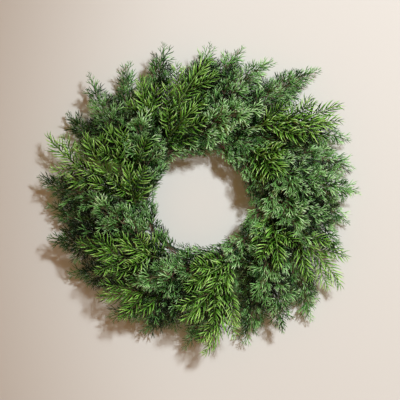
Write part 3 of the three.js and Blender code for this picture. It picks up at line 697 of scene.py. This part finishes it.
def fuse(name, parts, materials):
    """One mesh of many copies. A part is its corners, triangles, map and material."""
    mesh = bpy.data.meshes.new(name)
    sizes = [len(corners) for corners, _, _, _ in parts]
    starts = np.concatenate([[0], np.cumsum(sizes)[:-1]])
    corners = np.concatenate([part[0] for part in parts]) + MIDDLE
    over = np.maximum(0, -corners[:, 1] - PRESSED_DEPTH)
    corners[:, 1] += over - PRESSED_ROOM * np.tanh(over / PRESSED_ROOM)
    triangles = np.concatenate([part[1] + start for part, start in zip(parts, starts)])
    leaf_map = np.concatenate([part[2] for part in parts])
    slots = np.concatenate([np.full(len(part[1]), part[3]) for part in parts])
    mesh.vertices.add(len(corners))
    mesh.vertices.foreach_set("co", corners.ravel())
    mesh.loops.add(triangles.size)
    mesh.loops.foreach_set("vertex_index", triangles.ravel())
    mesh.polygons.add(len(triangles))
    mesh.polygons.foreach_set("loop_start", np.arange(0, triangles.size, 3))
    mesh.polygons.foreach_set("material_index", slots)
    mesh.polygons.foreach_set("use_smooth", np.ones(len(triangles), dtype=bool))
    layer = mesh.uv_layers.new(name=LEAF_MAP)
    layer.data.foreach_set("uv", leaf_map[triangles.ravel()].ravel())
    mesh.update(calc_edges=True)
    for material in materials:
        mesh.materials.append(material)
    piece = bpy.data.objects.new(name, mesh)
    bpy.context.collection.objects.link(piece)
    return piece


def about(spread, size=None):
    """Random values to both sides of zero."""
    return rng.uniform(-spread, spread, size)


def between(limits, size=None):
    """Random values between two limits."""
    return rng.uniform(*limits, size)


def sprigs_along(route, start, end, normal, tone):
    """Sprigs on both sides of a shoot in turn, and one at its tip."""
    distance = np.append(np.arange(start, end, SPRIG_PITCH), end)
    count = len(distance)
    share = (distance - start) / max(end - start, MM)
    along = route.along(distance)
    normal = unit(normal - dot(normal, along) * along)
    side = np.cross(normal, along) * np.where(np.arange(count) % 2, 1, -1)[:, None]
    lean = np.radians(SPRIG_LEAN - SPRIG_TIP_LEAN_LOSS * share + about(SPRIG_LEAN_SPREAD, count))
    lean[-1] = 0
    lift = about(SPRIG_LIFT, count)
    heading = (along * np.cos(lean)[:, None] + side * (np.sin(lean) * np.cos(lift))[:, None]
               + normal * (np.sin(lean) * np.sin(lift))[:, None])
    turned = about(SPRIG_TURN, count)[:, None]
    facing = normal * np.cos(turned) + side * np.sin(turned)
    scale = (1 - SPRIG_TIP_LOSS * share) * between(SPRIG_SIZES, count)
    tones = np.clip(tone + between(SPRIG_TONES, count), 0, 1)
    return route.at(distance), heading, facing, scale, tones


def twig_route(root, along, out, reach):
    """A twig that leaves in one direction and bends towards that of the shoot it grows from."""
    share = np.linspace(0, 1, TWIG_STEPS)[:, None]
    return Route(root + out * reach * share * (1 - TWIG_BEND * share)
                 + along * reach * TWIG_BEND * share ** 2)


def cedar_spray(spray):
    """A leafy cedar stem: twigs on all its sides in turn, forked again and clad in sprigs."""
    habit = HABIT[spray["group"]]
    route = spray["route"]
    is_outer = spray["group"] == "cedar_outer"
    # Painted shade: outer sprays are darker the further round they lie from the lit side, and sprays
    # darker towards their tips
    shade_side = (1 - math.cos(math.radians(spray["clock"] - LIT_SIDE_CLOCK))) / 2 if is_outer else 1
    tone = between(CEDAR_TONES) - habit["shade_side_loss"] * shade_side
    shade_tip_loss = habit["shade_tip_loss"] * shade_side
    rods = [lay_rod(stem_rod, route, 0, route.length, BUTT_RADIUS, STEM_TIP_RADIUS)]
    last = route.length - STEM_TIP_LENGTH
    normal = unit(FRONT + about(CEDAR_TIP_TURN, 3))
    batches = [sprigs_along(route, last, route.length, normal, tone - shade_tip_loss)]
    roots = np.arange(habit["bare"], last, habit["twig_pitch"])
    for index, distance in enumerate(roots):
        share = (distance - habit["bare"]) / (last - habit["bare"])
        facing = TWIG_FACINGS[index % len(TWIG_FACINGS)] + about(TWIG_FACING_SPREAD)
        fullness = 1 - TWIG_EVEN_LOSS * share - TWIG_TIP_LOSS * share ** TWIG_TIP_POWER
        fullness *= 1 - (1 - FRONT_TWIG_SHARE) * max(0, math.sin(facing))
        reach = habit["twig_length"] * fullness * between(TWIG_LENGTHS)
        along = route.along(distance)
        out = leaning(along, facing, TWIG_LEAN + about(TWIG_LEAN_SPREAD))
        twig = twig_route(route.at(distance), along, out, reach)
        normal = unit(FRONT + TWIG_TILT * np.cross(out, along) + about(TWIG_TILT_SPREAD, 3))
        twig_tone = tone + about(TWIG_TONE_SPREAD) - shade_tip_loss * share ** 2
        grow_twig(twig, normal, twig_tone, rods, batches)
    return rods, [np.concatenate(row) for row in zip(*batches)]


def grow_twig(twig, normal, tone, rods, batches):
    """Clothes a twig, and forks side twigs off it in turn."""
    rods.append(lay_rod(twig_rod, twig, 0, twig.length, TWIG_RADIUS, TWIG_TIP_RADIUS))
    batches.append(sprigs_along(twig, TWIG_BARE * twig.length, twig.length, normal, tone))
    first, last = (share * twig.length for share in SIDE_TWIG_SPAN)
    forks = np.arange(first, last, SIDE_TWIG_PITCH)
    for index, distance in enumerate(forks):
        share = distance / twig.length
        along = twig.along(distance)
        across = np.cross(unit(normal - dot(normal, along) * along), along) * (-1) ** index
        lean = math.radians(SIDE_TWIG_LEAN + about(SIDE_TWIG_LEAN_SPREAD))
        out = along * math.cos(lean) + (across + normal * about(SIDE_TWIG_LIFT)) * math.sin(lean)
        reach = SIDE_TWIG_LENGTH * (1 - SIDE_TWIG_LOSS * share) * between(SIDE_TWIG_LENGTHS)
        reach *= min(1, twig.length / LONG_TWIG)
        side = twig_route(twig.at(distance), along, unit(out), reach)
        rods.append(lay_rod(twig_rod, side, 0, side.length, SIDE_TWIG_RADIUS, TWIG_TIP_RADIUS))
        facing = unit(normal + about(SIDE_TWIG_TILT, 3))
        batches.append(sprigs_along(side, SIDE_TWIG_BARE * side.length, side.length, facing, tone))


def fir_needles_along(route, start, end, size, tone):
    """Needles in close rows on both sides of a shoot, shorter at its tip, and a tuft there."""
    rows = []
    for side in (1, -1):
        for lift, pitch, shift in NEEDLE_ROWS:
            distance = np.arange(start + shift + (side > 0) * pitch / 2, end - NEEDLE_ROW_END, pitch)
            count = len(distance)
            distance = distance + about(NEEDLE_PLACE_SPREAD, count)
            share = (distance - start) / (end - start)
            along = route.along(distance)
            left, front = across_shoot(along)
            angle = lift + about(NEEDLE_LIFT_SPREAD, count)
            across = side * left * np.cos(angle)[:, None] + front * np.sin(angle)[:, None]
            lean = NEEDLE_LEAN - NEEDLE_TIP_LEAN_LOSS * share ** 2 + about(NEEDLE_LEAN_SPREAD, count)
            lean = np.radians(lean)[:, None]
            heading = along * np.cos(lean) + across * np.sin(lean)
            facing = unit(front * NEEDLE_FRONT - side * left * NEEDLE_SIDE
                          + about(NEEDLE_TILT, (count, 3)))
            facing = facing * np.where(dot(np.cross(facing, heading), along) < 0, 1, -1)
            past = np.maximum(0, share - (1 - NEEDLE_LAST_STRETCH)) / NEEDLE_LAST_STRETCH
            grown = np.minimum(1, NEEDLE_FIRST_SIZE + NEEDLE_GROWTH * share)
            scale = size * grown * (1 - NEEDLE_LAST_LOSS * past) * between(NEEDLE_SIZES, count)
            tones = np.clip(tone + between(NEEDLE_TONES, count), 0, 1)
            rows.append((route.at(distance), heading, facing, scale, tones))
    tip = route.along(end)
    left, front = across_shoot(tip)
    fan = np.array(TUFT_LEANS)[:, None]
    count = len(fan)
    rows.append((np.repeat([route.at(end)], count, axis=0), unit(tip + left * fan + front * TUFT_LIFT),
                 np.repeat([front], count, axis=0), np.full(count, TUFT_SIZE * size),
                 np.clip(tone + between(TUFT_TONES, count), 0, 1)))
    return rows


def fir_spray(spray):
    """A fir shoot with needles, and side shoots in turn to its left and right."""
    route = spray["route"]
    rods = [lay_rod(stem_rod, route, 0, route.length, BUTT_RADIUS, STEM_TIP_RADIUS)]
    start = max(route.length - FIR_LEAFY, FIR_BARE)
    tone = between(FIR_TONES)
    rows = fir_needles_along(route, start, route.length, 1.0, tone)
    for share, side in FIR_SIDE_SHOOTS:
        distance = start + share * (route.length - start)
        along = route.along(distance)
        facing = FIR_SIDE_FACING + between(FIR_SIDE_TURNS)
        facing = facing if side > 0 else math.pi - facing
        out = leaning(along, facing, FIR_SIDE_LEAN + about(FIR_SIDE_LEAN_SPREAD))
        reach = FIR_SIDE_LENGTH * (1 - FIR_SIDE_LOSS * share) * between(FIR_SIDE_LENGTHS)
        shoot = twig_route(route.at(distance), along, out, reach)
        rods.append(lay_rod(twig_rod, shoot, 0, shoot.length, TWIG_RADIUS, TWIG_TIP_RADIUS))
        rows += fir_needles_along(shoot, FIR_SIDE_BARE * shoot.length, shoot.length, FIR_SIDE_SIZE, tone)
    return rods, [np.concatenate(row) for row in zip(*rows)]


# Painted shade: foliage that lies under more is painted darker. Cells of the plane of the wreath hold
# the depths of its front and of its back, and the leaves at the back keep a middling tone.
CANOPY_CELL = 6 * MM
CANOPY_HALF = 60
CLEAR_DEPTH = 4 * MM
PAINTED_SHADE_DEPTH = 17 * MM
PAINTED_SHADE_LOSS = 0.95
BACK_LAYER = 16 * MM
BACK_TONE = 0.42
NO_DEPTH = 1.0
LEAF_REACHES = (4 * MM, 14 * MM, 22 * MM)
FIR_REACHES = (0, 8 * MM, 14 * MM)


class Canopy:
    """The front and the back of all the foliage, to tell how deep a place in it lies."""

    def __init__(self, points):
        self.fronts = np.zeros((2 * CANOPY_HALF, 2 * CANOPY_HALF))
        self.backs = np.full((2 * CANOPY_HALF, 2 * CANOPY_HALF), NO_DEPTH)
        np.maximum.at(self.fronts, self.cells(points), -points[:, 1])
        np.minimum.at(self.backs, self.cells(points), -points[:, 1])

    def cells(self, points):
        places = np.floor(points[:, [0, 2]] / CANOPY_CELL).astype(int) + CANOPY_HALF
        return tuple(np.clip(places, 0, 2 * CANOPY_HALF - 1).T)

    def tones(self, points, tones):
        under = self.fronts[self.cells(points)] + points[:, 1] - CLEAR_DEPTH
        over = -points[:, 1] - self.backs[self.cells(points)]
        seen_behind = BACK_TONE * (1 - np.clip(over / BACK_LAYER, 0, 1))
        return np.clip(tones - PAINTED_SHADE_LOSS * np.clip(under / PAINTED_SHADE_DEPTH, 0, 1), seen_behind, 1)


def dress_sprays():
    """Grows all the sprays, paints shade on them by how deep they lie, and makes a piece of each."""
    sprays = plan_sprays()
    for spray in sprays:
        grow = fir_spray if spray["group"] == "fir_spray" else cedar_spray
        spray["rods"], spray["rows"] = grow(spray)
    canopy = Canopy(np.concatenate([
        spray["rows"][0] + unit(spray["rows"][1]) * reach for spray in sprays
        for reach in (FIR_REACHES if spray["group"] == "fir_spray" else LEAF_REACHES)]))
    for spray in sprays:
        origins, heading, facing, scale, tones = spray["rows"]
        # Painted shade: each sprig and needle is darker by how deep it lies under the front of the
        # foliage
        tones = canopy.tones(origins + unit(heading) * LEAF_REACHES[1], tones)
        is_fir = spray["group"] == "fir_spray"
        forms = [needle_form] if is_fir else sprig_forms
        kinds = rng.integers(0, len(forms), len(origins))
        parts = [shade_rod(rod, canopy) + (1,) for rod in spray["rods"]]
        for kind, form in enumerate(forms):
            chosen = kinds == kind
            curl = 0.0 if is_fir else between(SPRIG_CURLS)
            parts.append(lay_copies(form, origins[chosen], heading[chosen], facing[chosen],
                                    scale[chosen], tones[chosen], curl) + (0,))
        materials = [fir_needles, fir_bark] if is_fir else [cedar_leaves, cedar_bark]
        piece = fuse(f"{spray['node']}_leafy", parts, materials)
        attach(piece, "root")
        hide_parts(spray["node"])


def bend_wire(name, points, radius, corner):
    """A round wire through points, with each corner rounded, as a closed mesh."""
    curve = bpy.data.curves.new(name, "CURVE")
    curve.dimensions = "3D"
    curve.bevel_depth = radius
    curve.bevel_resolution = 3
    curve.use_fill_caps = True
    rounded = [points[0]]
    for before, here, after in zip(points, points[1:], points[2:]):
        back, ahead = before - here, after - here
        cut = min(corner, np.linalg.norm(back) / 2, np.linalg.norm(ahead) / 2)
        first, last = here + unit(back) * cut, here + unit(ahead) * cut
        for share in np.linspace(0, 1, CORNER_STEPS):
            rounded.append((1 - share) ** 2 * first + 2 * (1 - share) * share * here + share ** 2 * last)
    rounded.append(points[-1])
    spline = curve.splines.new("POLY")
    spline.points.add(len(rounded) - 1)
    for point, place in zip(spline.points, rounded):
        point.co = (*(place + MIDDLE), 1)
    wire = bpy.data.objects.new(name, curve)
    bpy.context.collection.objects.link(wire)
    bpy.ops.object.select_all(action="DESELECT")
    wire.select_set(True)
    bpy.context.view_layer.objects.active = wire
    bpy.ops.object.convert(target="MESH")
    return bpy.context.active_object


def join(name, pieces, material):
    """One piece of several, smooth except at its sharp edges."""
    bpy.ops.object.select_all(action="DESELECT")
    for piece in pieces:
        piece.select_set(True)
    bpy.context.view_layer.objects.active = pieces[0]
    if len(pieces) > 1:
        bpy.ops.object.join()
    whole = bpy.context.active_object
    whole.name = name
    whole.data.materials.clear()
    whole.data.materials.append(material)
    bpy.ops.object.shade_smooth_by_angle(angle=math.radians(SHARP_ANGLE))
    return whole


def weld_bead(place, texture):
    """A small uneven drop of weld."""
    weld = start_piece("weld_bead", bpy.ops.mesh.primitive_ico_sphere_add, subdivisions=3,
                       radius=WELD_RADIUS, location=tuple(place))
    rough = weld.modifiers.new("rough", "DISPLACE")
    rough.texture = texture
    rough.texture_coords = "GLOBAL"
    rough.strength = WELD_ROUGHNESS
    bpy.ops.object.modifier_apply(modifier=rough.name)
    return weld


def dress_frame():
    """Four rings of round wire, braces bent to a U, and a bead of weld wherever they cross."""
    corners = [(BACK_INNER_RADIUS, 0), (FRONT_INNER_RADIUS, FRAME_DEPTH),
               (FRONT_OUTER_RADIUS, FRAME_DEPTH), (BACK_OUTER_RADIUS, 0)]
    texture = bpy.data.textures.new("weld_rough", "CLOUDS")
    texture.noise_scale = WELD_GRAIN
    pieces = []
    for radius, depth in corners:
        pieces.append(start_piece(
            "wire_ring", bpy.ops.mesh.primitive_torus_add, major_segments=120, minor_segments=10,
            major_radius=radius, minor_radius=WIRE_RADIUS, rotation=(math.pi / 2, 0, 0),
            location=tuple(MIDDLE + FRONT * depth)))
    for brace in range(BRACE_COUNT):
        clock = BRACE_FIRST_CLOCK + brace * 360 / BRACE_COUNT
        points = [clock_point(clock, radius, depth) for radius, depth in corners]
        pieces.append(bend_wire("wire_brace", points, BRACE_RADIUS, BRACE_CORNER))
        pieces += [weld_bead(point + MIDDLE, texture) for point in points]
    whole = join("wire_frame_welded", pieces, painted_steel)
    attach(whole, "root")
    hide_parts("wire_frame")


def dress_binding():
    """At each tie some turns round the frame and the stems, then a run along the back."""
    outer = BACK_OUTER_RADIUS + BINDING_OFFSET
    inner = BACK_INNER_RADIUS - BINDING_OFFSET
    loop = [(outer, -BINDING_OFFSET), (outer - BINDING_TAPER, BINDING_FRONT),
            (inner + BINDING_TAPER, BINDING_FRONT), (inner, -BINDING_OFFSET)]
    width = BINDING_PITCH * BINDING_TURNS
    points = []
    for tie in range(TIE_COUNT):
        clock = TIE_FIRST_CLOCK + tie * TIE_STEP
        along = clockwise(clock)
        points.append(clock_point(clock, BINDING_RUN_RADIUS, -BINDING_OFFSET) - along * width / 2)
        for step in range(BINDING_TURNS * len(loop)):
            radius, depth = loop[step % len(loop)]
            shift = width * ((step + 0.5) / (BINDING_TURNS * len(loop)) - 0.5)
            points.append(clock_point(clock, radius, depth) + along * shift)
        points.append(clock_point(clock, BINDING_RUN_RADIUS, -BINDING_OFFSET) + along * width / 2)
        if tie < TIE_COUNT - 1:
            points.append(clock_point(clock + TIE_STEP / 2, BINDING_RUN_RADIUS, -BINDING_OFFSET))
    wire = bend_wire("binding_turns", points, BINDING_RADIUS, BINDING_CORNER)
    whole = join("binding_wire_turns", [wire], enamelled_wire)
    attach(whole, "root")
    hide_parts("binding_wire")


# The room: a warm pale wall close behind the wreath, and a plain floor well below it. The floor glows
# a little, so that it is as pale as the wall in the warm light, and its glow lights nothing else.
WALL_HALF = 2.4
WALL_MIDDLE_Z = -0.15
FLOOR_DROP = 1.25
FLOOR_GLOW = 0.6
GLOW_COLOUR = "#d6e6f2"

# Daylight falls in from a window at the front, high on the right, and fades to the left of the wall.
# A weak lamp behind lights the back of the wreath, and the room gives back a warm light to all sides.
WINDOW = {"place": (2.34, -4.43, 2.21), "aim": (1.41, 0.0, 0.21), "power": 1590, "colour": "#eef7ff"}
WINDOW_CONE = 39.2
WINDOW_BLEND = 0.18
WINDOW_RADIUS = 0.33
BACK_LAMP = {"place": (-0.8, 2.2, 0.6), "aim": tuple(MIDDLE), "power": 60, "colour": "#fffaf4"}
BACK_LAMP_SIZE = 2.0
ROOM_COLOUR = "#ffc488"
ROOM_STRENGTH = 0.365
BACKDROP_COLOUR = "#e6dfd6"


def plain_finish(name, code, one_sided, glow):
    """Flat paint. A wall seen from behind is clear, so that the back of the wreath shows."""
    material = start_material(name)
    relief = noise_relief(material, size=3 * MM, detail=3.0, strength=0.15, height=0.3 * MM)
    paint = add_node(material, "ShaderNodeBsdfPrincipled", inputs={
        "Base Color": linear(code), "Roughness": 0.85, "Normal": relief.outputs[0],
        "Emission Color": linear(GLOW_COLOUR), "Emission Strength": glow})
    if not one_sided:
        return finish_material(material, paint)
    side = add_node(material, "ShaderNodeNewGeometry")
    clear = add_node(material, "ShaderNodeBsdfTransparent")
    choice = add_node(material, "ShaderNodeMixShader", inputs={
        0: side.outputs["Backfacing"], 1: paint.outputs[0], 2: clear.outputs[0]})
    return finish_material(material, choice)


def build_room():
    wall = start_piece("wall", bpy.ops.mesh.primitive_plane_add, size=2 * WALL_HALF,
                       rotation=(math.pi / 2, 0, 0), location=(0, WALL_Y, WALL_MIDDLE_Z))
    wall.data.materials.append(plain_finish("matt_wall_paint", "#cecbc4", one_sided=True, glow=0.0))
    wall.visible_shadow = False
    floor = start_piece("floor", bpy.ops.mesh.primitive_plane_add, size=4 * WALL_HALF,
                        location=(0, 0, -FLOOR_DROP))
    floor.data.materials.append(
        plain_finish("pale_floor", "#e4ded6", one_sided=False, glow=FLOOR_GLOW))
    floor.visible_diffuse = False


def add_light(name, kind, place, aim, power, colour):
    lamp = bpy.data.lights.new(name, kind)
    lamp.energy = power
    lamp.color = linear(colour)[:3]
    holder = bpy.data.objects.new(name, lamp)
    bpy.context.collection.objects.link(holder)
    holder.location = place
    holder.rotation_euler = aim_at(place, aim)
    return lamp


def aim_at(place, aim):
    x, y, z = (end - start for start, end in zip(place, aim))
    return (math.atan2(math.hypot(x, y), -z), 0, math.atan2(y, x) - math.pi / 2)


def light_room():
    window = add_light("window", "SPOT", **WINDOW)
    window.spot_size = math.radians(WINDOW_CONE)
    window.spot_blend = WINDOW_BLEND
    window.shadow_soft_size = WINDOW_RADIUS
    back_lamp = add_light("back_fill", "AREA", **BACK_LAMP)
    back_lamp.shape = "DISK"
    back_lamp.size = BACK_LAMP_SIZE
    world = bpy.data.worlds.new("room_light")
    bpy.context.scene.world = world
    world.use_nodes = True
    warm = world.node_tree.nodes["Background"]
    warm.inputs["Color"].default_value = linear(ROOM_COLOUR)
    warm.inputs["Strength"].default_value = ROOM_STRENGTH
    pale = add_node(world, "ShaderNodeBackground", inputs={"Color": linear(BACKDROP_COLOUR)})
    path = add_node(world, "ShaderNodeLightPath")
    sky = add_node(world, "ShaderNodeMixShader", inputs={
        0: path.outputs["Is Camera Ray"], 1: warm.outputs[0], 2: pale.outputs[0]})
    world.node_tree.links.new(sky.outputs[0], world.node_tree.nodes["World Output"].inputs[0])
    bpy.context.scene.view_settings.view_transform = "Standard"


# The camera looks straight at the wreath through a long lens. The image is 400 pixels square.
PIXEL = 1.95 * MM
IMAGE_SIDE = 400
HOLE_PIXEL = (202, 200.5)
CAMERA_DISTANCE = 3.0
FOCUS_DEPTH = 45 * MM
SENSOR_WIDTH = 36


def add_camera():
    data = bpy.data.cameras.new("camera")
    data.sensor_width = SENSOR_WIDTH
    data.lens = data.sensor_width * CAMERA_DISTANCE / (IMAGE_SIDE * PIXEL)
    camera = bpy.data.objects.new("camera", data)
    bpy.context.collection.objects.link(camera)
    across = (IMAGE_SIDE / 2 - HOLE_PIXEL[0]) * PIXEL
    up = (HOLE_PIXEL[1] - IMAGE_SIDE / 2) * PIXEL
    camera.location = (across, -FOCUS_DEPTH - CAMERA_DISTANCE, MIDDLE[2] + up)
    camera.rotation_euler = (math.pi / 2, 0, 0)
    bpy.context.scene.camera = camera


dress_frame()
dress_binding()
dress_sprays()
build_room()
light_room()
add_camera()
